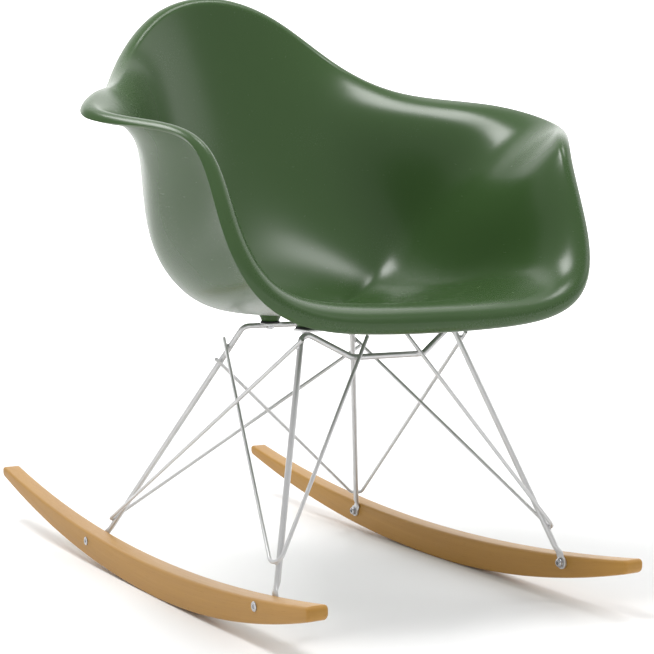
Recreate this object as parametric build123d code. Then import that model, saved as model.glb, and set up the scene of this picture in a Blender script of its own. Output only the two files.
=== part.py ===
from build123d import *
import os
from math import cos, radians, sin, tan

os.makedirs("parts", exist_ok=True)

# Frame: millimetres, +Z up, the floor is z = 0, the chair faces -Y, +X is the sitter's left.

# ---- rockers ----
ROCKER_LENGTH = 810.0
ROCKER_THICK = 23.0
TRACK = 400.0               # over the outer faces of the two rockers
ROCKER_LOW_Y = -67.0        # where the underside meets the floor, under the centre of mass
FRONT_RISE = 48.5           # of the underside at the front tip
REAR_RISE = 62.5            # and at the rear tip
ROCKER_TOP_Y = -35.0        # lowest point of the upper side
ROCKER_MID_HEIGHT = 34.0
ROCKER_FRONT_HEIGHT = 14.0
ROCKER_REAR_HEIGHT = 12.5
TIP_RADIUS = 5.5
ROCKER_EDGE_RADIUS = 3.0

# ---- rocker fasteners: screw from the inside into a flat-headed barrel nut ----
SCREW_D = 6.0
SCREW_CLEAR = 0.2           # on the diameter of every hole a screw passes through
SCREW_HEAD_D = 9.6
SCREW_HEAD_H = 3.3
WASHER_D = 11.2
WASHER_T = 1.2
BARREL_D = 8.0
BARREL_LENGTH = 18.0
BARREL_CLEAR = 0.2
BARREL_HEAD_D = 10.0
BARREL_HEAD_T = 1.2

# ---- rods and wires ----
ROD_D = 6.5
WIRE_D = 4.2
EYE_D = 14.0
EYE_T = 3.0
WELD_GAP = 0.03             # between the surfaces of two bars lying against each other
ROD_BEND = 9.0
WIRE_BEND = 9.0
FRONT_FOOT = (-304.0, 41.0)         # y, z of the bolt holes
REAR_FOOT = (115.0, 27.0)
REAR_TOP = Vector(72, -43, 288)     # corner of the rear rod's upper bend

# ---- moulded seat ----
SEAT_Y = -85.0
SEAT_Z = 303.0              # middle of the wall at the centre of the seat
SEAT_WIDTH_SCALE = 1.0
WALL = 5.0
LIP_RADIUS = 9.0            # of the rolled edge, to the middle of the wall
LIP_TURN = 100.0            # degrees the edge is rolled through

# Half of the seat, front centre to back centre, measured from the centre of the seat.
# Each row: the edge, then the handle that shapes the wall, then the handle of the seat pan.
STATIONS = [
    ((0, -230, 4), (0, -234, 40), (0, -78, 0)),
    ((114, -238, 7), (77, -221, 41), (103, -62, 0)),
    ((190, -233, 31), (131, -193, 47), (187, -18, 0)),
    ((211, -197, 100), (150, -164, 53), (237, 47, -1)),
    ((210, -159, 186), (150, -130, 80), (250, 115, -2)),
    ((250, -105, 202), (146, -88, 129), (250, 166, -2)),
    ((302, -51, 213), (141, -34, 181), (248, 188, -1)),
    ((254, 11, 242), (135, 33, 216), (241, 185, -1)),
    ((189, 118, 249), (116, 107, 226), (205, 166, -1)),
    ((141, 202, 288), (84, 178, 217), (145, 146, -1)),
    ((81, 241, 351), (44, 225, 205), (75, 134, -1)),
    ((0, 253, 375), (0, 242, 200), (0, 130, -1)),
]

# ---- mounts between the frame and the seat: x, y, the height of the tab's top, ----
# ---- and how far the tab reaches from the mount's axis towards its rod ----
MOUNTS = [
    (43.0, -52.5, REAR_TOP.Z + ROD_D / 2 + 0.05, REAR_TOP.Y - ROD_D / 2 - WELD_GAP + 52.5),
    (82.0, -200.0, 296.4, 17.0),
]
TAB_WIDTH = 22.0
TAB_T = 2.5
TAB_BACK = 9.75             # from the mount's axis to the tab's other side
RUBBER_D = 22.0
RUBBER_T = 2.0
BOSS_TOP_D = 36.0
BOSS_D = 20.0
MOUNT_SCREW_D = 5.0
MOUNT_SCREW_LENGTH = 12.0   # above the top of the tab
MOUNT_HEAD_D = 9.0
MOUNT_HEAD_H = 3.5
MOUNT_WASHER_D = 10.5
MOUNT_WASHER_T = 1.0
INSERT_D = 8.0
INSERT_LENGTH = 8.0

INNER_FACE = TRACK / 2 - ROCKER_THICK
SIDES = {"left": 1, "right": -1}


# ---------------------------------------------------------------- seat surface
def station(s):
    """Edge, wall handle and pan handle at s, from 0 at the front round to the front again."""
    count = len(STATIONS)
    whole = 2 * (count - 1)
    i = int(s // 1)
    f = s - i
    weights = [(1 - f) ** 3 / 6, (3 * f**3 - 6 * f**2 + 4) / 6,
               (-3 * f**3 + 3 * f**2 + 3 * f + 1) / 6, f**3 / 6]
    total = [Vector(), Vector(), Vector()]
    for j, weight in enumerate(weights):
        k = (i - 1 + j) % whole
        side = 1 if k < count else -1
        row = STATIONS[k if k < count else whole - k]
        for n, (x, y, z) in enumerate(row):
            total[n] += Vector(side * x * SEAT_WIDTH_SCALE, y, z) * weight
    return [v + Vector(0, SEAT_Y, SEAT_Z) for v in total]


def middle(s, t):
    """Middle of the wall: t runs 0 to 1 from the centre to the edge, 1 to 2 round the lip."""
    edge, wall, pan = station(s)
    centre = Vector(0, SEAT_Y, SEAT_Z)
    if t <= 1:
        return (centre * (1 - t) ** 3 + pan * (3 * (1 - t) ** 2 * t)
                + wall * (3 * (1 - t) * t * t) + edge * t**3)
    turn = radians(LIP_TURN) * (t - 1)
    up = (edge - wall).normalized()
    along = (station(s + 0.01)[0] - station(s - 0.01)[0]).normalized()
    out = along.cross(up).normalized()
    return edge + up * (LIP_RADIUS * sin(turn)) + out * (LIP_RADIUS * (1 - cos(turn)))


def normal(s, t):
    """Unit normal of the wall on the sitter's side."""
    a = middle(s + 0.01, t) - middle(s - 0.01, t)
    b = middle(s, t + 0.005) - middle(s, t - 0.005)
    return b.cross(a).normalized()


def ring(t, offset):
    """Closed curve round the seat at t, moved off the middle of the wall."""
    count = 4 * 2 * (len(STATIONS) - 1)
    points = []
    for i in range(count):
        s = i / 4
        if t < 0.15:
            p = middle(s, t)
            points.append(Vector(p.X, p.Y, SEAT_Z + offset))
        else:
            points.append(middle(s, t) + normal(s, t) * offset)
    return Wire([Edge.make_spline(points, periodic=True)])


def pan_height(x, y):
    """Height and normal of the middle of the wall over a point of the pan."""
    best = min(((middle(s / 4, t / 40) - Vector(x, y, 0)).X ** 2
                + (middle(s / 4, t / 40) - Vector(x, y, 0)).Y ** 2, s / 4, t / 40)
               for s in range(8 * (len(STATIONS) - 1)) for t in range(4, 32))
    p, n = middle(best[1], best[2]), normal(best[1], best[2])
    z = p.Z - ((x - p.X) * n.X + (y - p.Y) * n.Y) / n.Z
    return z, n


def mount_points():
    """The four mounts as (x, y, height of the tab's top)."""
    return [(side * x, y, z) for x, y, z, _ in MOUNTS for side in (1, -1)]


def upright(x, y, z, diameter, height):
    """Cylinder standing on z."""
    return Pos(x, y, z) * Cylinder(diameter / 2, height,
                                   align=(Align.CENTER, Align.CENTER, Align.MIN))


def boss(x, y, top):
    """Cone moulded under the pan, bored for the threaded insert."""
    z, n = pan_height(x, y)
    foot = top + RUBBER_T
    upper = Plane((x, y, z), x_dir=(1, 0, 0), z_dir=n) * Circle(BOSS_TOP_D / 2)
    lower = Plane.XY.offset(foot) * Pos(x, y) * Circle(BOSS_D / 2)
    return loft([lower.face(), upper.face()])


def seat_shell():
    """The moulded seat with its rolled edge and the four bosses under it."""
    steps = [0.12, 0.24, 0.36, 0.48, 0.58, 0.68, 0.78, 0.87, 0.94, 1.0,
             1.2, 1.4, 1.6, 1.8, 2.0]
    rings = [ring(t, -WALL / 2) for t in steps] + [ring(t, WALL / 2) for t in steps[::-1]]
    shell = Solid.make_loft(rings, ruled=True)
    for x, y, top in mount_points():
        shell = shell + boss(x, y, top)
    for x, y, top in mount_points():
        shell = shell - upright(x, y, top + RUBBER_T - 1, INSERT_D, INSERT_LENGTH + 1)
    return shell


# ---------------------------------------------------------------- rods and wires
def bent_path(points, radii):
    """Wire through the points with each inner corner rounded."""
    edges, start = [], points[0]
    for a, b, c, r in zip(points, points[1:], points[2:], radii):
        u, v = (a - b).normalized(), (c - b).normalized()
        half = radians(u.get_angle(v) / 2)
        p, q = b + u * (r / tan(half)), b + v * (r / tan(half))
        m = b + (u + v).normalized() * (r / sin(half) - r)
        edges += [Edge.make_line(start, p), Edge.make_three_point_arc(p, m, q)]
        start = q
    edges.append(Edge.make_line(start, points[-1]))
    return Wire(edges)


def bar(points, radii, diameter):
    """Round bar along a bent path."""
    path = bent_path(points, radii)
    section = Plane(origin=path @ 0, z_dir=path % 0) * Circle(diameter / 2)
    return sweep(section, path=path)


def mirrored(points):
    """The same points on the other side of the chair, in reverse."""
    return [Vector(-p.X, p.Y, p.Z) for p in points[::-1]]


def foot_points(foot, knee):
    """Start of a leg above its bolt hole: the eye's centre, the rod's end and the first bend."""
    x = INNER_FACE - ROD_D / 2 - WELD_GAP
    eye = Vector(x, *foot)
    rise = Vector(0, knee.Y - foot[0], knee.Z - foot[1]).normalized()
    return [eye + rise * (EYE_D / 2 + 1), eye + rise * (EYE_D / 2 + 4)]


def crest(a, b, c, r):
    """Highest point of a bar's axis in its bend at b."""
    u, v = (a - b).normalized(), (c - b).normalized()
    hub = b + (u + v).normalized() * (r / sin(radians(u.get_angle(v) / 2)))
    return hub.Z + r * (1 - u.cross(v).normalized().Z ** 2) ** 0.5


FRONT_BAR = Vector(44.5, -230, 267)
FRONT_TOP = Vector(94, -212, 295)   # raised or lowered until its bend meets the tab above it
for _ in range(8):
    CREST = crest(foot_points(FRONT_FOOT, FRONT_TOP)[1], FRONT_TOP, FRONT_BAR, ROD_BEND)
    FRONT_TOP += Vector(0, 0, MOUNTS[1][2] - TAB_T - ROD_D / 2 - WELD_GAP - CREST)
FRONT_HALF = foot_points(FRONT_FOOT, FRONT_TOP) + [FRONT_TOP, FRONT_BAR]
REAR_HALF = foot_points(REAR_FOOT, REAR_TOP) + [REAR_TOP]


def eye(foot, rise, side):
    """Flattened end of a rod, without its hole."""
    centre = Vector(side * (INNER_FACE - EYE_T / 2), *foot)
    plane = Plane(origin=centre, x_dir=rise, z_dir=(1, 0, 0))
    disc = plane * Cylinder(EYE_D / 2, EYE_T)
    neck = plane * Pos(EYE_D / 2 + 1, 0) * Box(EYE_D / 2 + 8, EYE_D * 0.6, EYE_T)
    return disc + neck


def frame_rod(half, foot, bends):
    """One bent rod from rocker to rocker with a bored eye at each end."""
    rod = bar(half + mirrored(half), bends, ROD_D)
    rise = (half[1] - half[0]).normalized()
    for side in (1, -1):
        rod = rod + eye(foot, rise, side)
        rod = rod - Pos(side * INNER_FACE, *foot) * Rot(0, 90, 0) * Cylinder(
            (SCREW_D + SCREW_CLEAR) / 2, 4 * EYE_T)
    return rod


def front_rod():
    """Front rod: up from the rocker, down to the cross bar and up again."""
    bends = [ROD_BEND] * (2 * len(FRONT_HALF) - 2)
    return frame_rod(FRONT_HALF, FRONT_FOOT, bends)


def rear_rod():
    """Rear rod: up from the rocker and straight across under the seat."""
    bends = [ROD_BEND] * (2 * len(REAR_HALF) - 2)
    return frame_rod(REAR_HALF, REAR_FOOT, bends)


def on_leg(half, z):
    """Point of a leg's axis at a height, and its direction."""
    low, high = half[1], half[2]
    return low + (high - low) * ((z - low.Z) / (high.Z - low.Z)), (high - low).normalized()


def beside(point, member, wire, toward, gap):
    """Axis point of a wire lying against a member on one side of it."""
    away = member.cross(wire).normalized()
    if away.dot(toward) < 0:
        away = away * -1
    return point + away * gap


def brace_points(leg, first, second):
    """Ends and corner of a V-shaped wire laid against a leg and two other members.

    Each of the three is (point, direction, side vector); the two ends add an overrun.
    """
    at_leg, at_rod = (ROD_D + WIRE_D) / 2 + WELD_GAP, (ROD_D + WIRE_D) / 2 + WELD_GAP
    a, b, corner = first[0], second[0], leg[0]
    for _ in range(12):
        u, v = (a - corner).normalized(), (b - corner).normalized()
        half = radians(u.get_angle(v) / 2)
        across = (u - v).normalized()
        apex = beside(leg[0], leg[1], across, leg[2], at_leg)
        corner = apex - (u + v).normalized() * (WIRE_BEND / sin(half) - WIRE_BEND)
        a = beside(first[0], first[1], u, first[2], at_rod)
        b = beside(second[0], second[1], v, second[2], at_rod)
    u, v = (a - corner).normalized(), (b - corner).normalized()
    return [a + u * first[3], corner, b + v * second[3]]


def flip(triple):
    """The same member on the other side of the chair."""
    point, direction, toward, *rest = triple
    return [Vector(-v.X, v.Y, v.Z) for v in (point, direction, toward)] + rest


def brace_front(side):
    """V-wire from a front leg to the rear leg behind it and to the cross bar."""
    leg = [*on_leg(FRONT_HALF, 77), Vector(1, 0, 0.3)]
    rear = [*on_leg(REAR_HALF, 263), Vector(1, 0, 0), 14]
    cross = [Vector(38, FRONT_BAR.Y, FRONT_BAR.Z), Vector(1, 0, 0), Vector(0, -1, 0), 25]
    parts = [leg, rear, cross]
    if side < 0:
        parts = [flip(p) for p in parts]
    return bar(brace_points(*parts), [WIRE_BEND], WIRE_D)


def brace_rear(side):
    """V-wire from a rear leg to the front leg before it and to the opposite rear leg.

    The two cross behind the seat: one passes before the opposite leg, the other behind it.
    """
    leg = [*on_leg(REAR_HALF, 50), Vector(1, 1, 1)]
    front = [*on_leg(FRONT_HALF, 279), Vector(0, 1, 0), 12]
    other = flip([*on_leg(REAR_HALF, 246), Vector(0, -side, 0), 14])
    parts = [leg, front, other]
    if side < 0:
        parts = [flip(p) for p in parts]
    return bar(brace_points(*parts), [WIRE_BEND], WIRE_D)


# ---------------------------------------------------------------- mounts
def mount_tab(x, y, top, reach):
    """Small plate welded to the rod, drilled for the mount screw."""
    rod_side = 1 if y > -100 else -1
    middle_y = y + rod_side * (reach - TAB_BACK) / 2
    plate = Pos(x, middle_y, top - TAB_T / 2) * Box(TAB_WIDTH, reach + TAB_BACK, TAB_T)
    plate = fillet(plate.edges().filter_by(Axis.Z), 3)
    return plate - upright(x, y, top - 5, MOUNT_SCREW_D + SCREW_CLEAR, 10)


def mount_tabs():
    """The four tabs."""
    return [mount_tab(side * x, *rest) for x, *rest in MOUNTS for side in (1, -1)]


def rubber_mounts():
    """Rubber washers between the tabs and the bosses."""
    return [upright(x, y, top, RUBBER_D, RUBBER_T)
            - upright(x, y, top - 1, MOUNT_SCREW_D + SCREW_CLEAR, RUBBER_T + 2)
            for x, y, top in mount_points()]


def mount_inserts():
    """Threaded inserts moulded into the bosses."""
    return [upright(x, y, top + RUBBER_T, INSERT_D, INSERT_LENGTH)
            - upright(x, y, top, MOUNT_SCREW_D + SCREW_CLEAR, INSERT_LENGTH + 4)
            for x, y, top in mount_points()]


def mount_washers():
    """Washers under the tabs."""
    return [upright(x, y, top - TAB_T - MOUNT_WASHER_T, MOUNT_WASHER_D, MOUNT_WASHER_T)
            - upright(x, y, top - 8, MOUNT_SCREW_D + SCREW_CLEAR, 8)
            for x, y, top in mount_points()]


def mount_screws():
    """Hexagon-headed screws from below through tab and rubber into the inserts."""
    screws = []
    for x, y, top in mount_points():
        seat = top - TAB_T - MOUNT_WASHER_T
        head = extrude(Pos(x, y, seat) * RegularPolygon(MOUNT_HEAD_D / 2, 6), -MOUNT_HEAD_H)
        shank = upright(x, y, seat, MOUNT_SCREW_D, top + MOUNT_SCREW_LENGTH - 3 - seat)
        screws.append(head + shank)
    return screws


# ---------------------------------------------------------------- rockers
def rising_arc(y, rise):
    """Arc of the underside from the floor, level there, up to a tip."""
    low = Vector(0, ROCKER_LOW_Y, 0)
    return Edge.make_tangent_arc(low, Vector(0, y - ROCKER_LOW_Y, 0), Vector(0, y, rise))


def rocker(side):
    """Curved wooden runner with rounded ends and two bolt holes."""
    front, rear = -ROCKER_LENGTH / 2, ROCKER_LENGTH / 2
    c, d = (rear, REAR_RISE + ROCKER_REAR_HEIGHT), (front, FRONT_RISE + ROCKER_FRONT_HEIGHT)
    outline = [
        rising_arc(front, FRONT_RISE),
        rising_arc(rear, REAR_RISE),
        Edge.make_line((0, rear, REAR_RISE), (0, *c)),
        Edge.make_three_point_arc((0, *c), (0, ROCKER_TOP_Y, ROCKER_MID_HEIGHT), (0, *d)),
        Edge.make_line((0, *d), (0, front, FRONT_RISE)),
    ]
    runner = Pos(INNER_FACE, 0, 0) * extrude(Face(Wire(outline)), ROCKER_THICK, dir=(1, 0, 0))
    tips = [e for e in runner.edges().filter_by(Axis.X)]
    tips = [e for e in tips if abs(e.center().Y) > ROCKER_LENGTH / 2 - 1]
    runner = fillet(tips, min(TIP_RADIUS, 0.45 * min(ROCKER_FRONT_HEIGHT, ROCKER_REAR_HEIGHT)))
    long_edges = [e for e in runner.edges() if not e.is_closed
                  and abs(e.center().X - e.start_point().X) < 1e-6
                  and abs(e.end_point().X - e.start_point().X) < 1e-6]
    runner = fillet(long_edges, ROCKER_EDGE_RADIUS)
    for foot in (FRONT_FOOT, REAR_FOOT):
        runner = runner - across(foot, INNER_FACE - 1, BARREL_D + BARREL_CLEAR,
                                 ROCKER_THICK + 2)
    return runner if side > 0 else mirror(runner, Plane.YZ)


def across(foot, x, diameter, length):
    """Cylinder along X from x outward at a bolt hole."""
    return Pos(x, *foot) * Rot(0, 90, 0) * Cylinder(
        diameter / 2, length, align=(Align.CENTER, Align.CENTER, Align.MIN))


def both_sides(shape):
    """A fastener's shape on the left and its mirror image on the right."""
    return [shape, mirror(shape, Plane.YZ)]


def rocker_screws(foot):
    """Button-headed screws with a hexagon socket, left and right."""
    seat = INNER_FACE - EYE_T - WASHER_T
    head = across(foot, seat - SCREW_HEAD_H, SCREW_HEAD_D, SCREW_HEAD_H)
    head = fillet(head.edges().group_by(Axis.X)[0], SCREW_HEAD_H * 0.6)
    shank = across(foot, seat, SCREW_D, TRACK / 2 - BARREL_LENGTH / 2 + 1 - seat)
    socket = Plane((seat - SCREW_HEAD_H, *foot), z_dir=(1, 0, 0)) * RegularPolygon(2.3, 6)
    return both_sides(head + shank - extrude(socket, 2))


def rocker_washers(foot):
    """Washers between the screw heads and the eyes, left and right."""
    seat = INNER_FACE - EYE_T - WASHER_T
    return both_sides(across(foot, seat, WASHER_D, WASHER_T)
                      - across(foot, seat - 1, SCREW_D + SCREW_CLEAR, WASHER_T + 2))


def barrel_nuts(foot):
    """Flat-headed barrel nuts let into the rockers, left and right."""
    nut = across(foot, TRACK / 2 - BARREL_LENGTH, BARREL_D, BARREL_LENGTH)
    nut = nut + across(foot, TRACK / 2, BARREL_HEAD_D, BARREL_HEAD_T)
    bore = across(foot, TRACK / 2 - BARREL_LENGTH - 1, SCREW_D + SCREW_CLEAR,
                  BARREL_LENGTH - 3)
    return both_sides(nut - bore)


# ---------------------------------------------------------------- write the parts
def save(name, shape):
    """Write one node, made of one solid or of several alike."""
    solids = shape if isinstance(shape, list) else [shape]
    solids = [s for part in solids for s in part.solids()]
    export_step(Compound(solids) if len(solids) > 1 else solids[0], f"parts/{name}.step")


save("seat_shell", seat_shell())
save("front_frame_rod", front_rod())
save("rear_frame_rod", rear_rod())
for name, side in SIDES.items():
    save(f"brace_front_{name}", brace_front(side))
    save(f"brace_rear_{name}", brace_rear(side))
    save(f"rocker_{name}", rocker(side))
for end, foot in (("front", FRONT_FOOT), ("rear", REAR_FOOT)):
    save(f"rocker_screws_{end}", rocker_screws(foot))
    save(f"rocker_washers_{end}", rocker_washers(foot))
    save(f"barrel_nuts_{end}", barrel_nuts(foot))
save("mount_tabs", mount_tabs())
save("rubber_mounts", rubber_mounts())
save("mount_inserts", mount_inserts())
save("mount_washers", mount_washers())
save("mount_screws", mount_screws())
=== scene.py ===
"""A rocking armchair: moulded seat, bent-rod base and wooden rockers."""

import logging
import math
from dataclasses import dataclass, field
from enum import Enum
from typing import Callable, Iterable, Sequence

import bmesh
import bpy
from mathutils import Matrix, Vector, noise


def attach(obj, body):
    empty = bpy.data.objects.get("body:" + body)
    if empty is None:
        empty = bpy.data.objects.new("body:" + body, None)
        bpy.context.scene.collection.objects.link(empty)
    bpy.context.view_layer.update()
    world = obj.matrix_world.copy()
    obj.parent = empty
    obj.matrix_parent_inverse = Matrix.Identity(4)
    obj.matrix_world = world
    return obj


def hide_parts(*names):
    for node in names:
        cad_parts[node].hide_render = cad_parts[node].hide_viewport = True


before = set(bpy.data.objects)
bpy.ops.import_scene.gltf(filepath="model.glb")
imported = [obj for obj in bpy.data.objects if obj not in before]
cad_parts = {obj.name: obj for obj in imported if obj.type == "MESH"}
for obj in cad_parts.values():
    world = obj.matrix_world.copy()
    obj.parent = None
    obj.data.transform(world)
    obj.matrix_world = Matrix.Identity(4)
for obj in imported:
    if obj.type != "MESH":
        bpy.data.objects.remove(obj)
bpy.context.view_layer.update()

LOG = logging.getLogger("rocker")
MM = 0.001
Socket = bpy.types.NodeSocket
Object = bpy.types.Object
Colour = tuple[float, float, float]


class Axis(Enum):
    """Directions a turned part can point in."""

    UP = Matrix.Identity(4)
    LEFT = Matrix.Rotation(math.radians(90), 4, "Y")
    RIGHT = Matrix.Rotation(math.radians(-90), 4, "Y")


# ---------------------------------------------------------------- shader maths
class Value:
    """A shader socket that takes part in Python expressions."""

    def __init__(self, graph: "Graph", socket: Socket) -> None:
        """Keep the graph and the socket."""
        self.graph = graph
        self.socket = socket

    def __add__(self, other: "Value | float") -> "Value":
        """Sum."""
        return self.graph.maths("ADD", self, other)

    __radd__ = __add__

    def __sub__(self, other: "Value | float") -> "Value":
        """Difference."""
        return self.graph.maths("SUBTRACT", self, other)

    def __rsub__(self, other: "Value | float") -> "Value":
        """Reflected difference."""
        return self.graph.maths("SUBTRACT", other, self)

    def __mul__(self, other: "Value | float") -> "Value":
        """Product."""
        return self.graph.maths("MULTIPLY", self, other)

    __rmul__ = __mul__

    def __truediv__(self, other: "Value | float") -> "Value":
        """Quotient."""
        return self.graph.maths("DIVIDE", self, other)

    def __pow__(self, other: "Value | float") -> "Value":
        """Power."""
        return self.graph.maths("POWER", self, other)


class Graph:
    """The node tree of one material."""

    def __init__(self, name: str) -> None:
        """Start a material with an empty tree.

        Args:
            name: the material's name.
        """
        self.material = bpy.data.materials.new(name)
        self.material.use_nodes = True
        self.tree = self.material.node_tree
        self.tree.nodes.clear()
        coords = self.node("ShaderNodeTexCoord", {}, {})
        self.place = Value(self, coords.outputs["Object"])

    def node(self, kind: str, settings: dict, inputs: dict) -> bpy.types.Node:
        """Add a node.

        Args:
            kind: the node's type.
            settings: its properties, set first.
            inputs: values or links for its sockets, by name or index.

        Returns:
            The node.
        """
        made = self.tree.nodes.new(kind)
        for key, setting in settings.items():
            setattr(made, key, setting)
        for key, given in inputs.items():
            socket = made.inputs[key]
            if isinstance(given, Value):
                self.tree.links.new(given.socket, socket)
            elif isinstance(given, tuple) and socket.type == "RGBA":
                socket.default_value = (*given, 1.0)
            else:
                socket.default_value = given
        return made

    def maths(self, operation: str, a: "Value | float", b: "Value | float") -> Value:
        """One Math node."""
        made = self.node("ShaderNodeMath", {"operation": operation}, {0: a, 1: b})
        return Value(self, made.outputs[0])

    def clamp(self, value: Value) -> Value:
        """The value held between 0 and 1."""
        return Value(self, self.node("ShaderNodeClamp", {}, {"Value": value}).outputs[0])

    def step(self, value: Value, low: float, high: float) -> Value:
        """A smooth step from 0 at low to 1 at high."""
        made = self.node("ShaderNodeMapRange", {"interpolation_type": "SMOOTHSTEP"},
                         {"Value": value, "From Min": low, "From Max": high})
        return Value(self, made.outputs["Result"])

    def noise(self, where: Value, scale: float, detail: float = 2.0,
              rough: float = 0.5) -> Value:
        """Noise about 0.5 over the object's coordinates, with its scale per metre."""
        made = self.node("ShaderNodeTexNoise", {},
                         {"Vector": where, "Scale": scale, "Detail": detail,
                          "Roughness": rough})
        return Value(self, made.outputs[0])

    def stretched(self, where: Value, scale: tuple[float, float, float]) -> Value:
        """Coordinates scaled along each axis."""
        made = self.node("ShaderNodeMapping", {}, {"Vector": where, "Scale": scale})
        return Value(self, made.outputs[0])

    def split(self, where: Value) -> tuple[Value, Value, Value]:
        """The three coordinates apart."""
        made = self.node("ShaderNodeSeparateXYZ", {}, {0: where})
        return tuple(Value(self, out) for out in made.outputs)

    def combine(self, x: Value, y: Value, z: Value) -> Value:
        """Three coordinates together."""
        return Value(self, self.node("ShaderNodeCombineXYZ", {}, {0: x, 1: y, 2: z}).outputs[0])

    def attribute(self, name: str) -> Value:
        """A float attribute of the mesh."""
        made = self.node("ShaderNodeAttribute", {"attribute_name": name}, {})
        return Value(self, made.outputs["Fac"])

    def mix(self, factor: Value, a: "Colour | Value", b: "Colour | Value") -> Value:
        """Two colours mixed."""
        made = self.node("ShaderNodeMix", {"data_type": "RGBA"}, {0: factor, 6: a, 7: b})
        return Value(self, made.outputs[2])

    def bump(self, height: Value, distance: float, strength: float = 1.0,
             below: "Value | None" = None) -> Value:
        """A bumped normal, on top of another if one is given."""
        inputs = {"Height": height, "Distance": distance, "Strength": strength}
        if below is not None:
            inputs["Normal"] = below
        return Value(self, self.node("ShaderNodeBump", {}, inputs).outputs[0])

    def surface(self, inputs: dict) -> bpy.types.Material:
        """Finish the material with one principled shader.

        Args:
            inputs: values or links for the shader's sockets.

        Returns:
            The material.
        """
        shader = self.node("ShaderNodeBsdfPrincipled", {}, inputs)
        self.node("ShaderNodeOutputMaterial", {},
                  {"Surface": Value(self, shader.outputs[0])})
        return self.material


# ---------------------------------------------------------------- finishes
@dataclass(frozen=True)
class MouldedPlastic:
    """Semi-gloss through-coloured plastic, finely textured by its mould."""

    name: str
    colour: Colour
    worn: Colour
    roughness: float = 0.26

    def material(self) -> bpy.types.Material:
        """Build the material.

        Returns:
            The material.
        """
        graph = Graph(self.name)
        broad = graph.noise(graph.place, 7.0, 3.0)
        grain = graph.noise(graph.place, 900.0, 2.0)
        ripple = graph.noise(graph.place, 60.0, 1.0)
        scuff = graph.step(graph.noise(graph.stretched(graph.place, (260.0, 40.0, 260.0)),
                                       1.0, 4.0, 0.6), 0.66, 0.8)
        rim = graph.attribute("rim")
        fade = graph.clamp((broad - 0.5) * 0.35 + rim * 0.22 + scuff * 0.06)
        colour = graph.mix(fade, self.colour, self.worn)
        rough = self.roughness + (broad - 0.5) * 0.05 + (grain - 0.5) * 0.05 + rim * 0.03
        lumps = graph.bump(ripple, 0.00004)
        return graph.surface({
            "Base Color": colour, "Roughness": rough + scuff * 0.06,
            "IOR": 1.49, "Specular IOR Level": 0.36,
            "Normal": graph.bump(grain, 0.00001, 0.6, lumps)})


@dataclass(frozen=True)
class PlatedRod:
    """Bright plated steel, drawn along its length and slightly clouded."""

    name: str
    colour: Colour
    cloud: Colour
    roughness: float = 0.36
    metallic: float = 0.7

    def material(self) -> bpy.types.Material:
        """Build the material.

        Returns:
            The material.
        """
        graph = Graph(self.name)
        cloud = graph.noise(graph.place, 55.0, 4.0, 0.6)
        fine = graph.noise(graph.place, 1400.0, 2.0)
        spots = graph.step(graph.noise(graph.place, 420.0, 3.0), 0.68, 0.78)
        colour = graph.mix(graph.clamp((cloud - 0.35) * 0.9 + spots * 0.3),
                           self.colour, self.cloud)
        rough = self.roughness + (cloud - 0.5) * 0.14 + spots * 0.12
        return graph.surface({
            "Base Color": colour, "Metallic": self.metallic, "Roughness": rough,
            "Normal": graph.bump(fine, 0.00001, 0.5)})


@dataclass(frozen=True)
class ZincFastener:
    """Zinc-plated steel with the rings left by turning."""

    name: str
    colour: Colour
    dark: Colour

    def material(self) -> bpy.types.Material:
        """Build the material.

        Returns:
            The material.
        """
        graph = Graph(self.name)
        cloud = graph.noise(graph.place, 300.0, 3.0)
        rings = graph.noise(graph.stretched(graph.place, (4000.0, 300.0, 300.0)), 1.0, 2.0)
        colour = graph.mix(graph.clamp((cloud - 0.4) * 1.2), self.colour, self.dark)
        return graph.surface({
            "Base Color": colour, "Metallic": 1.0,
            "Roughness": 0.26 + (rings - 0.5) * 0.2 + (cloud - 0.5) * 0.1,
            "Normal": graph.bump(rings, 0.00001, 0.7)})


@dataclass(frozen=True)
class LacqueredMaple:
    """Honey-coloured maple under a satin lacquer, its grain along the curve of the rocker."""

    name: str
    light: Colour
    dark: Colour
    pore: Colour
    radius: float = 1.5
    low_y: float = -0.067

    def material(self) -> bpy.types.Material:
        """Build the material.

        Returns:
            The material.
        """
        graph = Graph(self.name)
        x, y, z = graph.split(graph.place)
        along = y - self.low_y
        straight = graph.combine(x, y, z - along * along / (2 * self.radius))
        broad = graph.noise(graph.stretched(straight, (22.0, 1.6, 30.0)), 1.0, 3.0)
        rings = graph.noise(graph.stretched(straight, (90.0, 2.2, 150.0)), 1.0, 3.0, 0.6)
        lines = graph.noise(graph.stretched(straight, (500.0, 9.0, 900.0)), 1.0, 4.0, 0.65)
        pores = graph.step(graph.noise(graph.stretched(straight, (1600.0, 60.0, 1600.0)),
                                       1.0, 2.0), 0.62, 0.75)
        shade = graph.clamp((broad - 0.5) * 0.8 + (rings - 0.5) * 0.9
                            + (lines - 0.5) * 0.7 + 0.42)
        colour = graph.mix(pores * 0.35, graph.mix(shade, self.light, self.dark), self.pore)
        edge = graph.attribute("edge")
        colour = graph.mix(edge * 0.25, colour, self.light)
        rough = 0.46 + (lines - 0.5) * 0.14 + pores * 0.08 - edge * 0.04
        return graph.surface({
            "Base Color": colour, "Roughness": rough, "Coat Weight": 0.05,
            "Specular IOR Level": 0.35,
            "Coat Roughness": 0.25,
            "Normal": graph.bump(lines - pores * 0.6, 0.00004, 0.5)})


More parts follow.
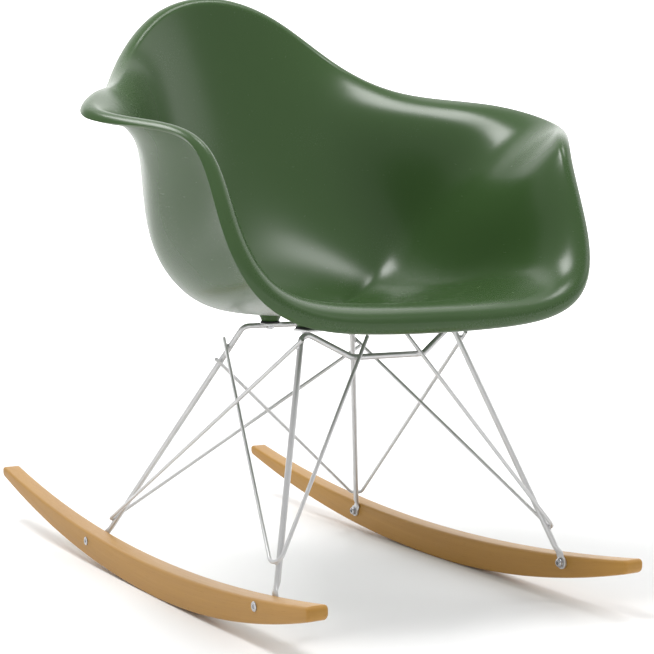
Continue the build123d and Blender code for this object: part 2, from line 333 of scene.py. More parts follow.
@dataclass(frozen=True)
class MattRubber:
    """Black rubber with a dusty bloom."""

    name: str
    colour: Colour
    bloom: Colour

    def material(self) -> bpy.types.Material:
        """Build the material.

        Returns:
            The material.
        """
        graph = Graph(self.name)
        dust = graph.noise(graph.place, 180.0, 4.0, 0.6)
        grain = graph.noise(graph.place, 2200.0, 2.0)
        return graph.surface({
            "Base Color": graph.mix(graph.step(dust, 0.4, 0.75), self.colour, self.bloom),
            "Roughness": 0.7 + (dust - 0.5) * 0.3,
            "Normal": graph.bump(grain, 0.00003)})


@dataclass(frozen=True)
class PaleFloor:
    """Plain pale studio floor that runs out into the white of the backdrop."""

    name: str
    colour: Colour
    near: float = 1.2
    far: float = 4.0

    def material(self) -> bpy.types.Material:
        """Build the material.

        Returns:
            The material.
        """
        graph = Graph(self.name)
        tone = graph.noise(graph.place, 1.2, 1.0)
        colour = graph.mix(tone * 0.04, self.colour, (0.8, 0.8, 0.8))
        x, y, _ = graph.split(graph.place)
        away = graph.step((x * x + y * y) ** 0.5, self.near, self.far)
        return graph.surface({"Base Color": colour, "Roughness": 0.65,
                              "Specular IOR Level": 0.15, "Emission Strength": 1.0,
                              "Emission Color": graph.mix(away, (0, 0, 0), (1, 1, 1))})


@dataclass(frozen=True)
class Finishes:
    """Every finish of the chair, built once."""

    seat: bpy.types.Material
    rod: bpy.types.Material
    zinc: bpy.types.Material
    brass: bpy.types.Material
    wood: bpy.types.Material
    rubber: bpy.types.Material

    @staticmethod
    def mixed() -> "Finishes":
        """Build the whole set.

        Returns:
            The finishes.
        """
        return Finishes(
            seat=MouldedPlastic("green_plastic", (0.036, 0.078, 0.022),
                                (0.062, 0.115, 0.045)).material(),
            rod=PlatedRod("bright_rod", (0.66, 0.66, 0.66), (0.52, 0.52, 0.53)).material(),
            zinc=ZincFastener("zinc", (0.50, 0.50, 0.51), (0.30, 0.30, 0.32)).material(),
            brass=ZincFastener("brass", (0.72, 0.52, 0.22), (0.50, 0.34, 0.13)).material(),
            wood=LacqueredMaple("honey_maple", (0.44, 0.235, 0.045), (0.35, 0.17, 0.03),
                                (0.19, 0.08, 0.018)).material(),
            rubber=MattRubber("black_rubber", (0.012, 0.012, 0.012),
                              (0.035, 0.034, 0.033)).material())


# ---------------------------------------------------------------- workbench
class Bench:
    """The hand operations that every piece is made with. Lengths are in millimetres."""

    @staticmethod
    def take(*objects: Object) -> None:
        """Select only these objects, the first one active."""
        bpy.ops.object.select_all(action="DESELECT")
        for obj in objects:
            obj.select_set(True)
        bpy.context.view_layer.objects.active = objects[0]

    @staticmethod
    def clear() -> None:
        """Leave nothing selected before a primitive is added."""
        bpy.ops.object.select_all(action="DESELECT")

    @classmethod
    def modify(cls, obj: Object, kind: str, settings: dict) -> None:
        """Add a modifier and apply it.

        Args:
            obj: the object.
            kind: the modifier's type.
            settings: its properties.
        """
        cls.take(obj)
        bpy.ops.object.modifier_add(type=kind)
        modifier = obj.modifiers[-1]
        for key, setting in settings.items():
            setattr(modifier, key, setting)
        bpy.ops.object.modifier_apply(modifier=modifier.name)

    @classmethod
    def tidy(cls, obj: Object, distance: float = 0.001) -> None:
        """Merge doubled vertices and turn the faces outward."""
        cls.take(obj)
        bpy.ops.object.mode_set(mode="EDIT")
        bpy.ops.mesh.select_all(action="SELECT")
        bpy.ops.mesh.remove_doubles(threshold=distance)
        bpy.ops.mesh.normals_make_consistent(inside=False)
        bpy.ops.object.mode_set(mode="OBJECT")

    @classmethod
    def copy(cls, obj: Object) -> Object:
        """A copy with its own mesh."""
        cls.take(obj)
        bpy.ops.object.duplicate()
        return bpy.context.active_object

    @classmethod
    def mirrored(cls, obj: Object) -> Object:
        """A copy on the other side of the chair, faces outward."""
        twin = cls.copy(obj)
        twin.data.transform(Matrix.Scale(-1, 4, Vector((1, 0, 0))))
        twin.data.flip_normals()
        return twin

    @classmethod
    def join(cls, parts: Sequence[Object]) -> Object:
        """Several objects made one."""
        cls.take(*parts)
        if len(parts) > 1:
            bpy.ops.object.join()
        return bpy.context.active_object

    @classmethod
    def turned(cls, profile: Sequence[tuple], sides: int = 40) -> Object:
        """Turn a part on the lathe round Z.

        Args:
            profile: (radius, height) from end to end; a third item makes that ring a hexagon.
                A first and last point that are the same make a ring with a bore.
            sides: faces round the part.

        Returns:
            The closed part.
        """
        cls.clear()
        bpy.ops.mesh.primitive_circle_add(vertices=sides, radius=1.0)
        obj = bpy.context.active_object
        bpy.ops.object.mode_set(mode="EDIT")
        bpy.ops.mesh.select_all(action="SELECT")
        closed = profile[0] == profile[-1]
        for index, (radius, height, *hexagon) in enumerate(profile):
            if index:
                bpy.ops.mesh.extrude_region_move()
            mesh = bmesh.from_edit_mesh(obj.data)
            for vert in [one for one in mesh.verts if one.select]:
                angle = math.atan2(vert.co.y, vert.co.x)
                reach = max(radius, 0.0005)
                if hexagon:
                    sixth = math.radians(60)
                    reach = radius / math.cos((angle + sixth / 2) % sixth - sixth / 2)
                vert.co = (reach * math.cos(angle), reach * math.sin(angle), height)
            bmesh.update_edit_mesh(obj.data)
            if index in (0, len(profile) - 1) and not closed and radius > 0.01:
                if index:
                    bpy.ops.mesh.edge_face_add()
        bpy.ops.object.mode_set(mode="OBJECT")
        if not closed and profile[0][0] > 0.01:
            cls.cap(obj, profile[0][1])
        cls.tidy(obj, 0.002)
        return obj

    @classmethod
    def cap(cls, obj: Object, height: float) -> None:
        """Close the open ring at a height."""
        cls.take(obj)
        bpy.ops.object.mode_set(mode="EDIT")
        bpy.ops.mesh.select_all(action="DESELECT")
        mesh = bmesh.from_edit_mesh(obj.data)
        for edge in mesh.edges:
            level = all(abs(vert.co.z - height) < 1e-4 for vert in edge.verts)
            edge.select_set(level and edge.is_boundary)
        bmesh.update_edit_mesh(obj.data)
        bpy.ops.mesh.edge_face_add()
        bpy.ops.object.mode_set(mode="OBJECT")

    @staticmethod
    def move(obj: Object, where: Vector, axis: Axis = Axis.UP) -> Object:
        """Turn a part to an axis and put it in place, in its mesh."""
        obj.data.transform(Matrix.Translation(where) @ axis.value)
        return obj

    @classmethod
    def bar(cls, line: Sequence[Vector], radius: float, round_tips: bool) -> Object:
        """A round bar along a line of points.

        Args:
            line: points of the centre line.
            radius: the bar's radius.
            round_tips: True to round the ends over.

        Returns:
            The bar as a mesh.
        """
        curve = bpy.data.curves.new("bar", "CURVE")
        curve.dimensions = "3D"
        curve.bevel_depth, curve.bevel_resolution = radius, 6
        curve.use_fill_caps = True
        spline = curve.splines.new("POLY")
        spline.points.add(len(line) - 1)
        for node, point in zip(spline.points, line):
            node.co = (*point, 1.0)
        obj = bpy.data.objects.new("bar", curve)
        bpy.context.scene.collection.objects.link(obj)
        cls.take(obj)
        bpy.ops.object.convert(target="MESH")
        obj = bpy.context.active_object
        cls.tidy(obj)
        if round_tips:
            cls.modify(obj, "BEVEL", {"width": radius * 0.45, "segments": 4,
                                      "limit_method": "ANGLE",
                                      "angle_limit": math.radians(60)})
        return obj

    @classmethod
    def hand_over(cls, obj: Object, name: str, material: bpy.types.Material, slot: str,
                  nodes: Iterable[str], crease: float = 35.0) -> Object:
        """Scale a piece to metres, dress it and hang it on the chair.

        Args:
            obj: the piece, in millimetres.
            name: its name.
            material: its finish.
            slot: not used.
            nodes: the CAD nodes that it stands for.
            crease: edges sharper than this stay sharp, in degrees.

        Returns:
            The finished piece.
        """
        cls.take(obj)
        obj.name = obj.data.name = name
        obj.data.transform(Matrix.Scale(MM, 4))
        bpy.ops.object.shade_smooth_by_angle(angle=math.radians(crease))
        obj.data.materials.clear()
        obj.data.materials.append(material)
        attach(obj, "root")
        if nodes:
            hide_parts(*nodes)
        LOG.info("%s: %d faces", name, len(obj.data.polygons))
        return obj


# ---------------------------------------------------------------- seat
Row = tuple[tuple[float, float, float], ...]

STATIONS: tuple[Row, ...] = (
    ((0, -230, 4), (0, -234, 40), (0, -78, 0)),
    ((114, -238, 7), (77, -221, 41), (103, -62, 0)),
    ((190, -233, 31), (131, -193, 47), (187, -18, 0)),
    ((211, -197, 100), (150, -164, 53), (237, 47, -1)),
    ((210, -159, 186), (150, -130, 80), (250, 115, -2)),
    ((250, -105, 202), (146, -88, 129), (250, 166, -2)),
    ((302, -51, 213), (141, -34, 181), (248, 188, -1)),
    ((254, 11, 242), (135, 33, 216), (241, 185, -1)),
    ((189, 118, 249), (116, 107, 226), (205, 166, -1)),
    ((141, 202, 288), (84, 178, 217), (145, 146, -1)),
    ((81, 241, 351), (44, 225, 205), (75, 134, -1)),
    ((0, 253, 375), (0, 242, 200), (0, 130, -1)),
)


@dataclass
class Seat:
    """The moulded bucket seat with its rolled edge and four bosses underneath."""

    finishes: Finishes
    stations: tuple[Row, ...] = STATIONS
    centre: Vector = field(default_factory=lambda: Vector((0, -85, 303)))
    wall: float = 5.0
    lip: float = 9.0
    lip_turn: float = math.radians(100)
    columns: int = 352
    wall_rows: int = 56
    lip_rows: int = 16
    mounts: tuple = ((43, -52.5, 291.3), (82, -200, 296.4))

    def station(self, s: float) -> list[Vector]:
        """Edge, wall handle and pan handle at s round the seat.

        Args:
            s: from 0 at the front, twice round the half table to the front again.

        Returns:
            The three points.
        """
        count = len(self.stations)
        whole = 2 * (count - 1)
        i = math.floor(s)
        f = s - i
        weights = ((1 - f) ** 3 / 6, (3 * f**3 - 6 * f**2 + 4) / 6,
                   (-3 * f**3 + 3 * f**2 + 3 * f + 1) / 6, f**3 / 6)
        total = [self.centre.copy() for _ in range(3)]
        for j, weight in enumerate(weights):
            k = (i - 1 + j) % whole
            side = 1 if k < count else -1
            for n, (x, y, z) in enumerate(self.stations[k if k < count else whole - k]):
                total[n] += Vector((side * x, y, z)) * weight
        return total

    def middle(self, s: float, t: float) -> Vector:
        """Middle of the wall.

        Args:
            s: round the seat.
            t: 0 to 1 from the centre to the edge, 1 to 2 round the lip.

        Returns:
            The point.
        """
        edge, wall, pan = self.station(s)
        if t <= 1:
            return (self.centre * (1 - t) ** 3 + pan * (3 * (1 - t) ** 2 * t)
                    + wall * (3 * (1 - t) * t * t) + edge * t**3)
        turn = self.lip_turn * (t - 1)
        up = (edge - wall).normalized()
        along = (self.station(s + 0.01)[0] - self.station(s - 0.01)[0]).normalized()
        out = along.cross(up).normalized()
        return edge + up * (self.lip * math.sin(turn)) + out * (self.lip * (1 - math.cos(turn)))

    def pan_height(self, x: float, y: float) -> float:
        """Height of the middle of the wall over a point of the pan."""
        best = min(((self.middle(s / 8, t / 60) - Vector((x, y, 0))).xy.length, s, t)
                   for s in range(16 * (len(self.stations) - 1)) for t in range(4, 40))
        return self.middle(best[1] / 8, best[2] / 60).z

    def shell(self) -> Object:
        """The seat's wall: a grid laid on the surface, given its thickness and a round rim.

        Returns:
            The shell.
        """
        rows = self.wall_rows + self.lip_rows
        Bench.clear()
        bpy.ops.mesh.primitive_grid_add(x_subdivisions=self.columns, y_subdivisions=rows, size=1)
        obj = bpy.context.active_object
        rim = obj.data.attributes.new("rim", "FLOAT", "POINT")
        blends = []
        around = 2 * (len(self.stations) - 1)
        share = self.wall_rows / rows
        for vert in obj.data.vertices:
            s, v = (vert.co.x + 0.5) * around, vert.co.y + 0.5
            t = v / share if v <= share else 1 + (v - share) / (1 - share)
            vert.co = self.middle(s, min(t, 2.0))
            rim.data[vert.index].value = max(0.0, min(1.0, t - 0.95))
            blends.append(max(0.0, min(1.0, (t - 0.12) / 0.2, (0.86 - t) / 0.25)))
        soft = obj.vertex_groups.new(name="soft")
        for index, blend in enumerate(blends):
            soft.add([index], blend, "REPLACE")
        Bench.tidy(obj, 0.01)
        Bench.modify(obj, "SMOOTH", {"factor": 0.5, "iterations": 60, "vertex_group": "soft"})
        Bench.modify(obj, "SOLIDIFY", {"thickness": self.wall, "offset": 0.0,
                                       "use_even_offset": False, "use_rim": True})
        Bench.modify(obj, "BEVEL", {"width": self.wall * 0.46, "segments": 4,
                                    "limit_method": "ANGLE",
                                    "angle_limit": math.radians(60)})
        return obj

    def boss(self, x: float, y: float, top: float) -> Object:
        """Flared cone moulded under the pan, open for its insert."""
        low, high = top + 2.0, self.pan_height(x, y) + 0.8
        rise = high - low
        profile = [(4.0, low + 6), (4.0, low + 0.5), (4.5, low), (9.4, low), (10.0, low + 0.6),
                   (11.5, low + rise * 0.35), (13.2, low + rise * 0.55),
                   (16.5, low + rise * 0.75), (21.0, high), (4.0, high), (4.0, low + 6)]
        return Bench.move(Bench.turned(profile, 48), Vector((x, y, 0)))

    def build(self) -> None:
        """Make the seat and hand it over."""
        bosses = [self.boss(side * x, y, top) for x, y, top in self.mounts for side in (1, -1)]
        seat = Bench.join([self.shell(), *bosses])
        Bench.hand_over(seat, "moulded_seat", self.finishes.seat, "seat", ["seat_shell"], 60)


# ---------------------------------------------------------------- rods and wires
Member = tuple[Vector, Vector, Vector]


@dataclass
class RodBase:
    """Two bent rods from rocker to rocker, four V-wires laid against them, and the welds."""

    finishes: Finishes
    inner_face: float = 177.0
    rod: float = 6.5
    wire: float = 4.2
    eye: float = 14.0
    eye_thick: float = 3.0
    bore: float = 6.2
    gap: float = 0.03
    rod_bend: float = 9.0
    wire_bend: float = 9.0
    front_foot: tuple = (-304.0, 41.0)
    rear_foot: tuple = (115.0, 27.0)
    front_knee: tuple = (94.0, -212.0, 295.1)
    bar_corner: tuple = (44.5, -230.0, 267.0)
    rear_knee: tuple = (72.0, -43.0, 288.0)
    foot_straight: float = 4.0      # from the eye's rim to the rod's first bend
    press_end: float = 9.0          # from the hole: flat up to here
    press_run: float = 9.0          # and fully round again this much further on
    press_spread: float = 0.72      # widening of the flat part, as a share
    bead_half_axes: tuple = (3.6, 2.5, 1.5)
    welds: list = field(default_factory=list)

    def __post_init__(self) -> None:
        """Lay out half of each rod."""
        front_top, rear_top = Vector(self.front_knee), Vector(self.rear_knee)
        self.front_bar = Vector(self.bar_corner)
        self.front = self.foot(self.front_foot, front_top) + [front_top, self.front_bar]
        self.rear = self.foot(self.rear_foot, rear_top) + [rear_top]

    def foot(self, foot: tuple, knee: Vector) -> list[Vector]:
        """The rod's end above its bolt hole and its first bend."""
        hole = Vector((self.inner_face - self.rod / 2 - self.gap, *foot))
        rise = Vector((0, knee.y - foot[0], knee.z - foot[1])).normalized()
        rim = self.eye / 2
        return [hole + rise * (rim - 2.0), hole + rise * (rim + self.foot_straight)]

    @staticmethod
    def rounded(points: Sequence[Vector], radius: float, steps: int = 9) -> list[Vector]:
        """A line through points with its corners rounded.

        Args:
            points: the corners.
            radius: of every bend.
            steps: pieces in each bend.

        Returns:
            The points of the line.
        """
        line = [points[0]]
        for a, b, c in zip(points, points[1:], points[2:]):
            u, v = (a - b).normalized(), (c - b).normalized()
            half = u.angle(v) / 2
            hub = b + (u + v).normalized() * (radius / math.sin(half))
            first = b + u * (radius / math.tan(half)) - hub
            last = b + v * (radius / math.tan(half)) - hub
            turn = first.angle(last)
            for k in range(steps + 1):
                f = k / steps
                line.append(hub + (first * math.sin((1 - f) * turn)
                                   + last * math.sin(f * turn)) / math.sin(turn))
        return line + [points[-1]]

    def flattened(self, obj: Object, half: list[Vector], foot: tuple) -> None:
        """Press the ends of a rod flat where they run into their eyes."""
        hole = Vector((0, *foot))
        rise = (half[1] - half[0]).normalized()
        across = Vector((0, -rise.z, rise.y))
        axis_x, flat_x = half[0].x, self.inner_face - self.eye_thick / 2
        for vert in obj.data.vertices:
            side = 1 if vert.co.x > 0 else -1
            reach = (Vector((0, vert.co.y, vert.co.z)) - hole).dot(rise)
            if reach > self.press_end + self.press_run or abs(vert.co.x) < axis_x - 12:
                continue
            press = 1 - max(0.0, min(1.0, (reach - self.press_end) / self.press_run))
            press = press * press * (3 - 2 * press)
            x = abs(vert.co.x)
            thin = flat_x + (x - axis_x) * self.eye_thick / self.rod
            vert.co.x = side * (x + (thin - x) * press)
            off = (Vector((0, vert.co.y, vert.co.z)) - hole).dot(across)
            vert.co += across * off * self.press_spread * press

    def frame_rod(self, name: str, half: list[Vector], foot: tuple) -> None:
        """One rod from rocker to rocker, with an eye at each end."""
        other = [Vector((-p.x, p.y, p.z)) for p in half[::-1]]
        line = self.rounded(half + other, self.rod_bend)
        dense = []
        for a, b in zip(line, line[1:]):
            cuts = max(1, int((b - a).length / 4))
            dense += [a.lerp(b, k / cuts) for k in range(cuts)]
        obj = Bench.bar(dense + [line[-1]], self.rod / 2, False)
        self.flattened(obj, half, foot)
        outer, inner, thick = self.eye / 2, self.bore / 2, self.eye_thick
        ring = [(inner, 0.3), (inner + 0.3, 0), (outer - 0.6, 0), (outer - 0.15, 0.2),
                (outer, 0.6), (outer, thick - 0.6), (outer - 0.15, thick - 0.2),
                (outer - 0.6, thick), (inner + 0.3, thick), (inner, thick - 0.3), (inner, 0.3)]
        eye = Bench.move(Bench.turned(ring, 56),
                         Vector((self.inner_face - thick, *foot)), Axis.LEFT)
        obj = Bench.join([obj, eye, Bench.mirrored(eye)])
        Bench.hand_over(obj, name, self.finishes.rod, "rod", [name.replace("bent_", "")], 50)

    @staticmethod
    def on_leg(half: list[Vector], height: float) -> tuple[Vector, Vector]:
        """Point of a leg's axis at a height, and its direction."""
        low, high = half[1], half[2]
        return low.lerp(high, (height - low.z) / (high.z - low.z)), (high - low).normalized()

    def beside(self, member: Member, run: Vector) -> Vector:
        """Axis point of a wire that lies against a member on the member's given side."""
        point, direction, toward = member[:3]
        away = direction.cross(run).normalized()
        if away.dot(toward) < 0:
            away = -away
        return point + away * ((self.rod + self.wire) / 2 + self.gap)

    def v_wire(self, leg: tuple, first: tuple, second: tuple) -> list[Vector]:
        """Ends and corner of a V-shaped wire laid against a leg and two other members.

        Args:
            leg: (point, direction, side) where the corner lies.
            first: the same for one end, and how far the wire runs on.
            second: the same for the other end.

        Returns:
            End, corner, end.
        """
        a, b, corner = first[0], second[0], leg[0]
        for _ in range(12):
            u, v = (a - corner).normalized(), (b - corner).normalized()
            half = u.angle(v) / 2
            apex = self.beside(leg, (u - v).normalized())
            corner = apex - (u + v).normalized() * (
                self.wire_bend / math.sin(half) - self.wire_bend)
            a, b = self.beside(first, u), self.beside(second, v)
        for contact, member, run in ((apex, leg, (u - v).normalized()), (a, first, u),
                                     (b, second, v)):
            self.welds.append((contact.lerp(member[0], self.wire / (self.rod + self.wire)),
                               member[1], run))
        return [a + u * first[3], corner, b + v * second[3]]

    @staticmethod
    def flip(member: tuple) -> tuple:
        """The same member on the other side of the chair."""
        return (*(Vector((-v.x, v.y, v.z)) for v in member[:3]), *member[3:])

    def braces(self) -> None:
        """The four V-wires."""
        for side, name in ((1, "left"), (-1, "right")):
            keep: Callable[[tuple], tuple] = self.flip if side < 0 else tuple
            front = [(*self.on_leg(self.front, 77), Vector((1, 0, 0.3))),
                     (*self.on_leg(self.rear, 263), Vector((1, 0, 0)), 14),
                     (Vector((38, *self.front_bar.yz)), Vector((1, 0, 0)),
                      Vector((0, -1, 0)), 25)]
            rear = [(*self.on_leg(self.rear, 50), Vector((1, 1, 1))),
                    (*self.on_leg(self.front, 279), Vector((0, 1, 0)), 12),
                    self.flip((*self.on_leg(self.rear, 246), Vector((0, -side, 0)), 14))]
            for place, members in (("front", front), ("rear", rear)):
                points = self.v_wire(*(keep(member) for member in members))
                obj = Bench.bar(self.rounded(points, self.wire_bend, 14), self.wire / 2, True)
                Bench.hand_over(obj, f"v_wire_{place}_{name}", self.finishes.rod, "rod",
                                [f"brace_{place}_{name}"], 50)

    def weld_beads(self) -> None:
        """Small fillets of weld metal where the wires cross the rods."""
        beads = []
        for where, along, run in self.welds:
            Bench.clear()
            bpy.ops.mesh.primitive_uv_sphere_add(segments=20, ring_count=12, radius=1.0)
            bead = bpy.context.active_object
            z = along.cross(run).normalized()
            x = (along + run).normalized() if along.dot(run) > 0 else (along - run).normalized()
            turn = Matrix((x, z.cross(x), z)).transposed().to_4x4()
            for vert in bead.data.vertices:
                swell = 1 + 0.12 * noise.noise(vert.co * 2.1 + where * 0.3)
                vert.co = vert.co * Vector(self.bead_half_axes) * swell
            bead.data.transform(Matrix.Translation(where) @ turn)
            beads.append(bead)
        Bench.hand_over(Bench.join(beads), "weld_beads", self.finishes.rod, "rod", [], 80)

    def build(self) -> None:
        """Make the whole base."""
        self.frame_rod("bent_front_frame_rod", self.front, self.front_foot)
        self.frame_rod("bent_rear_frame_rod", self.rear, self.rear_foot)
        self.braces()
        self.weld_beads()


# ---------------------------------------------------------------- rockers
@dataclass
class Rockers:
    """The two wooden runners with their screws, washers and barrel nuts."""

    finishes: Finishes
    length: float = 810.0
    track: float = 400.0
    thick: float = 23.0
    low_y: float = -67.0
    front_rise: float = 48.5
    rear_rise: float = 62.5
    top_y: float = -35.0
    mid_height: float = 34.0
    front_height: float = 14.0
    rear_height: float = 12.5
    tip_radius: float = 5.5
    edge_radius: float = 3.0
    feet: tuple = (("front", (-304.0, 41.0)), ("rear", (115.0, 27.0)))

    def under(self, y: float) -> float:
        """Height of the underside: an arc each way from where it meets the floor."""
        front = y < self.low_y
        run = (self.length / 2 + (self.low_y if front else -self.low_y))
        rise = self.front_rise if front else self.rear_rise
        radius = (run * run + rise * rise) / (2 * rise)
        return radius - math.sqrt(radius * radius - (y - self.low_y) ** 2)

    def over(self, y: float) -> float:
        """Height of the upper side: one arc through its ends and its lowest point."""
        ends = [(-self.length / 2, self.front_rise + self.front_height),
                (self.top_y, self.mid_height),
                (self.length / 2, self.rear_rise + self.rear_height)]
        (ax, ay), (bx, by), (cx, cy) = ends
        d = 2 * (ax * (by - cy) + bx * (cy - ay) + cx * (ay - by))
        ux = ((ax * ax + ay * ay) * (by - cy) + (bx * bx + by * by) * (cy - ay)
              + (cx * cx + cy * cy) * (ay - by)) / d
        uy = ((ax * ax + ay * ay) * (cx - bx) + (bx * bx + by * by) * (ax - cx)
              + (cx * cx + cy * cy) * (bx - ax)) / d
        radius = math.hypot(ax - ux, ay - uy)
        return uy - math.sqrt(radius * radius - (y - ux) ** 2)

    def runner(self) -> Object:
        """The left rocker."""
        Bench.clear()
        bpy.ops.mesh.primitive_grid_add(x_subdivisions=160, y_subdivisions=1, size=1)
        obj = bpy.context.active_object
        inner = self.track / 2 - self.thick
        for vert in obj.data.vertices:
            y = vert.co.x * self.length
            vert.co = (inner, y, self.over(y) if vert.co.y > 0 else self.under(y))
        Bench.take(obj)
        bpy.ops.object.mode_set(mode="EDIT")
        bpy.ops.mesh.select_all(action="DESELECT")
        mesh = bmesh.from_edit_mesh(obj.data)
        bmesh.ops.dissolve_faces(mesh, faces=mesh.faces[:])
        for vert in mesh.verts:
            vert.select_set(abs(vert.co.y) > self.length / 2 - 0.01)
        bmesh.update_edit_mesh(obj.data)
        bpy.ops.mesh.bevel(offset=self.tip_radius, segments=7, affect="VERTICES")
        bpy.ops.mesh.select_all(action="SELECT")
        bpy.ops.mesh.extrude_region_move(
            TRANSFORM_OT_translate={"value": (self.thick, 0, 0)})
        bpy.ops.object.mode_set(mode="OBJECT")
        Bench.tidy(obj)
        Bench.modify(obj, "BEVEL", {"width": self.edge_radius, "segments": 5,
                                    "limit_method": "ANGLE",
                                    "angle_limit": math.radians(60)})
        return obj

    def bored(self, obj: Object) -> None:
        """Drill the two bolt holes through the left rocker."""
        for _, foot in self.feet:
            drill = Bench.move(Bench.turned([(4.1, 0), (4.1, 60)], 40),
                               Vector((self.track / 2 - 42, *foot)), Axis.LEFT)
            Bench.take(obj)
            bpy.ops.object.modifier_add(type="BOOLEAN")
            cut = obj.modifiers[-1]
            cut.operation, cut.object, cut.solver = "DIFFERENCE", drill, "EXACT"
            bpy.ops.object.modifier_apply(modifier=cut.name)
            bpy.data.objects.remove(drill)

    def edge_wear(self, obj: Object) -> None:
        """Mark the rounded long edges, where the lacquer is thinner."""
        edge = obj.data.attributes.new("edge", "FLOAT", "POINT")
        for vert in obj.data.vertices:
            x, y, z = abs(vert.co.x), vert.co.y, vert.co.z
            side = min(self.track / 2 - x, x - self.track / 2 + self.thick)
            level = min(self.over(y) - z, z - self.under(y))
            near = max(0.0, 1 - max(side, level) / 3.5)
            edge.data[vert.index].value = min(1.0, near * 1.5)

    def fastener_sets(self, end: str, foot: tuple) -> None:
        """Screw, washer and barrel nut at both rockers' holes of one end."""
        seat = self.track / 2 - self.thick - 3.0 - 1.2
        screw = Bench.turned([(2.0, -1.4, 6), (2.0, -3.2, 6), (2.6, -3.3), (3.6, -3.05),
                              (4.3, -2.4), (4.7, -1.5), (4.8, -0.6), (4.8, 0), (3.0, 0),
                              (3.0, self.track / 2 - 8 - seat)], 48)
        washer = Bench.turned([(3.1, 0), (5.35, 0), (5.6, 0.25), (5.6, 0.95), (5.35, 1.2),
                               (3.4, 1.2), (3.1, 0.9), (3.1, 0)], 48)
        nut = Bench.turned([(3.1, -4), (3.1, -18), (3.9, -18), (4.0, -17.8), (4.0, 0),
                            (4.9, 0), (5.0, 0.15), (5.0, 0.7), (4.7, 1.1), (4.2, 1.2),
                            (2.1, 1.2), (2.0, 1.1), (2.0, 0.5), (0, 0.5)], 48)
        made = {"rocker_screws": (screw, seat), "rocker_washers": (washer, seat),
                "barrel_nuts": (nut, self.track / 2)}
        for kind, (obj, x) in made.items():
            Bench.move(obj, Vector((x, *foot)), Axis.LEFT)
            pair = Bench.join([obj, Bench.mirrored(obj)])
            Bench.hand_over(pair, f"{kind}_{end}_pair", self.finishes.zinc, "fastener",
                            [f"{kind}_{end}"])

    def build(self) -> None:
        """Make both rockers and their fasteners."""
        left = self.runner()
        self.bored(left)
        self.edge_wear(left)
        right = Bench.mirrored(left)
        Bench.hand_over(left, "left_rocker", self.finishes.wood, "wood", ["rocker_left"], 40)
        Bench.hand_over(right, "right_rocker", self.finishes.wood, "wood", ["rocker_right"], 40)
        for end, foot in self.feet:
            self.fastener_sets(end, foot)


# ---------------------------------------------------------------- seat mounts
@dataclass
class SeatMounts:
    """Tab, rubber washer, screw and washer at each of the four seat mounts."""

    finishes: Finishes
    mounts: tuple = ((43, -52.5, 291.3), (82, -200, 296.4))
    reaches: tuple = (6.22, 17.0)
    tab_wide: float = 22.0
    tab_back: float = 9.75
    tab_thick: float = 2.5

    def places(self) -> list[Vector]:
        """The four mount axes at the tops of their tabs."""
        return [Vector((side * x, y, top)) for x, y, top in self.mounts for side in (1, -1)]

    def plate(self, where: Vector) -> Object:
        """One tab: a plate with round corners and a hole, its edges eased."""
        rear = where.y > -100
        reach = self.reaches[0 if rear else 1]
        wide, deep, thick = self.tab_wide, reach + self.tab_back, self.tab_thick
        middle = (1 if rear else -1) * (reach - self.tab_back) / 2
        Bench.clear()
        bpy.ops.mesh.primitive_circle_add(vertices=48, radius=2.6)
        obj = bpy.context.active_object
        bpy.ops.object.mode_set(mode="EDIT")
        bpy.ops.mesh.select_all(action="SELECT")
        bpy.ops.mesh.extrude_region_move()
        mesh = bmesh.from_edit_mesh(obj.data)
        for vert in [one for one in mesh.verts if one.select]:
            angle = math.atan2(vert.co.y, vert.co.x)
            x, y = math.cos(angle), math.sin(angle)
            power = 8
            reach = (abs(x * 2 / wide) ** power + abs(y * 2 / deep) ** power) ** (-1 / power)
            vert.co = (x * reach, y * reach + middle, 0)
        bmesh.update_edit_mesh(obj.data)
        bpy.ops.mesh.select_all(action="SELECT")
        bpy.ops.mesh.extrude_region_move(TRANSFORM_OT_translate={"value": (0, 0, -thick)})
        bpy.ops.object.mode_set(mode="OBJECT")
        Bench.tidy(obj)
        Bench.modify(obj, "BEVEL", {"width": 0.4, "segments": 2, "limit_method": "ANGLE",
                                    "angle_limit": math.radians(60)})
        return Bench.move(obj, where)

    def repeated(self, profile: Sequence[tuple], drop: float, sides: int = 44) -> Object:
        """A turned part at every mount.

        Args:
            profile: of the part.
            drop: how far its zero lies under the tab's top.
            sides: faces round it.

        Returns:
            The four parts as one object.
        """
        parts = [Bench.move(Bench.turned(profile, sides), where - Vector((0, 0, drop)))
                 for where in self.places()]
        return Bench.join(parts)

    def build(self) -> None:
        """Make the mounts' parts."""
        tabs = Bench.join([self.plate(where) for where in self.places()])
        Bench.hand_over(tabs, "welded_tabs", self.finishes.rod, "rod", ["mount_tabs"])
        rubber = self.repeated([(2.6, 0), (10.6, 0), (11, 0.4), (11, 1.6), (10.6, 2),
                                (2.6, 2), (2.6, 0)], 0)
        Bench.hand_over(rubber, "rubber_washers", self.finishes.rubber, "rubber",
                        ["rubber_mounts"])
        under = self.tab_thick
        washers = self.repeated([(2.6, 0), (5.05, 0), (5.25, 0.2), (5.25, 0.8), (5.05, 1),
                                 (2.6, 1), (2.6, 0)], under + 1)
        Bench.hand_over(washers, "seat_washers", self.finishes.zinc, "fastener",
                        ["mount_washers"])
        screws = self.repeated([(0, -3.5), (2.9, -3.5), (3.7, -3.2, 6), (3.85, -2.9, 6),
                                (3.85, -0.3, 6), (3.6, 0, 6), (2.5, 0), (2.5, 12.2),
                                (2.1, 12.5)], under + 1, 48)
        Bench.hand_over(screws, "seat_screws", self.finishes.zinc, "fastener",
                        ["mount_screws"], 25)
        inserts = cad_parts["mount_inserts"]
        for slot in inserts.material_slots:
            slot.material = self.finishes.brass


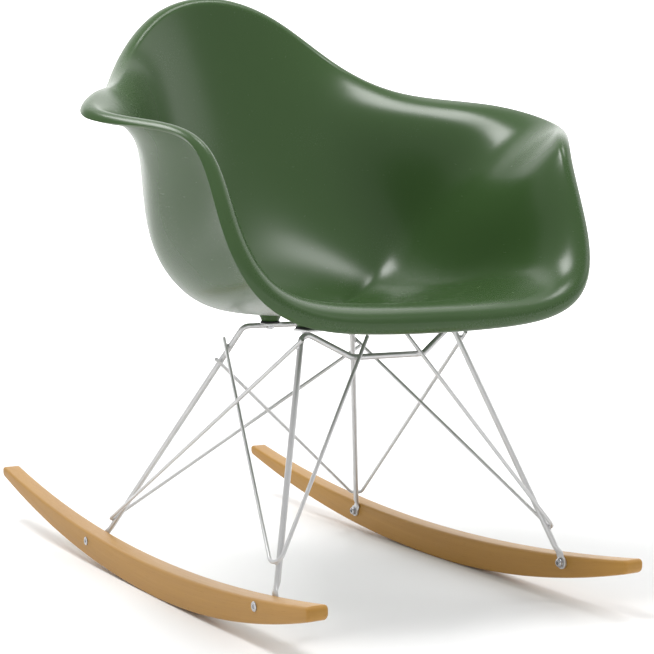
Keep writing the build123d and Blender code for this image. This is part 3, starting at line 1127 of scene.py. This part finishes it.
# ---------------------------------------------------------------- studio
@dataclass
class Studio:
    """Floor, soft lights and the camera."""

    azimuth: float = math.radians(29.98)
    pitch: float = math.radians(4.46)
    place: tuple = (-0.9154, -1.6296, 0.4271)
    focal: float = 87.95
    shift: float = 0.043
    floor_size: float = 40.0
    screen_size: float = 36.0
    screen_away: float = 16.0
    ambient: float = 0.62

    def floor(self) -> None:
        """A wide floor."""
        Bench.clear()
        bpy.ops.mesh.primitive_grid_add(x_subdivisions=8, y_subdivisions=8,
                                        size=self.floor_size)
        floor = bpy.context.active_object
        floor.name = "studio_floor"
        floor.data.materials.append(PaleFloor("pale_floor", (0.90, 0.90, 0.90)).material())

    def backdrop(self) -> None:
        """A wide white screen behind the chair."""
        Bench.clear()
        bpy.ops.mesh.primitive_grid_add(x_subdivisions=4, y_subdivisions=4,
                                        size=self.screen_size)
        screen = bpy.context.active_object
        screen.name = "backdrop"
        out = Vector((math.sin(self.azimuth), math.cos(self.azimuth), 0.0))
        screen.data.transform(Matrix.Translation((out + Vector((0, 0, 1))) * self.screen_away)
                              @ (-out).to_track_quat("Z", "Y").to_matrix().to_4x4())
        graph = Graph("white_screen")
        tone = graph.noise(graph.place, 0.2, 1.0)
        screen.data.materials.append(graph.surface({
            "Base Color": (0.8, 0.8, 0.8), "Roughness": 0.8, "Emission Strength": 1.0,
            "Emission Color": graph.mix(tone, (1, 1, 1), (0.98, 0.98, 0.98))}))

    def light(self, name: str, where: tuple, aim: tuple, size: tuple, power: float) -> None:
        """A soft rectangular light.

        Args:
            name: its name.
            where: its place.
            aim: the point it faces.
            size: width and height.
            power: in watts.
        """
        Bench.clear()
        bpy.ops.object.light_add(type="AREA", location=where)
        lamp = bpy.context.active_object
        lamp.name = name
        lamp.data.shape = "RECTANGLE"
        lamp.data.size, lamp.data.size_y = size
        lamp.data.energy = power
        lamp.rotation_mode = "QUATERNION"
        lamp.rotation_quaternion = (Vector(aim) - Vector(where)).to_track_quat("-Z", "Y")

    def camera(self) -> None:
        """The camera, a little above the seat's pan and looking slightly down."""
        Bench.clear()
        bpy.ops.object.camera_add(location=self.place)
        camera = bpy.context.active_object
        look = Vector((math.sin(self.azimuth) * math.cos(self.pitch),
                       math.cos(self.azimuth) * math.cos(self.pitch), -math.sin(self.pitch)))
        camera.rotation_mode = "QUATERNION"
        camera.rotation_quaternion = look.to_track_quat("-Z", "Y")
        camera.data.lens = self.focal
        camera.data.sensor_width = 36
        camera.data.shift_x = self.shift
        bpy.context.scene.camera = camera

    def build(self) -> None:
        """Set the studio up."""
        self.floor()
        self.backdrop()
        world = bpy.data.worlds.new("studio")
        bpy.context.scene.world = world
        world.use_nodes = True
        world.node_tree.nodes["Background"].inputs[0].default_value = (1, 1, 1, 1)
        world.node_tree.nodes["Background"].inputs[1].default_value = self.ambient
        bpy.context.scene.view_settings.view_transform = "Standard"
        self.light("key", (-0.75, 0.15, 2.5), (0, -0.1, 0.2), (0.9, 0.9), 38)
        self.light("pan", (0.75, -0.3, 2.5), (0, -0.1, 0.3), (0.5, 0.5), 9)
        self.light("right_fill", (2.4, -0.9, 1.7), (0, -0.1, 0.4), (1.6, 1.6), 12)
        self.camera()


def main() -> None:
    """Build the chair and its studio."""
    logging.basicConfig(level=logging.INFO, format="%(name)s %(message)s")
    finishes = Finishes.mixed()
    for part in (Seat(finishes), RodBase(finishes), Rockers(finishes), SeatMounts(finishes),
                 Studio()):
        LOG.info("building %s", type(part).__name__)
        part.build()


if __name__ == "__main__":
    main()
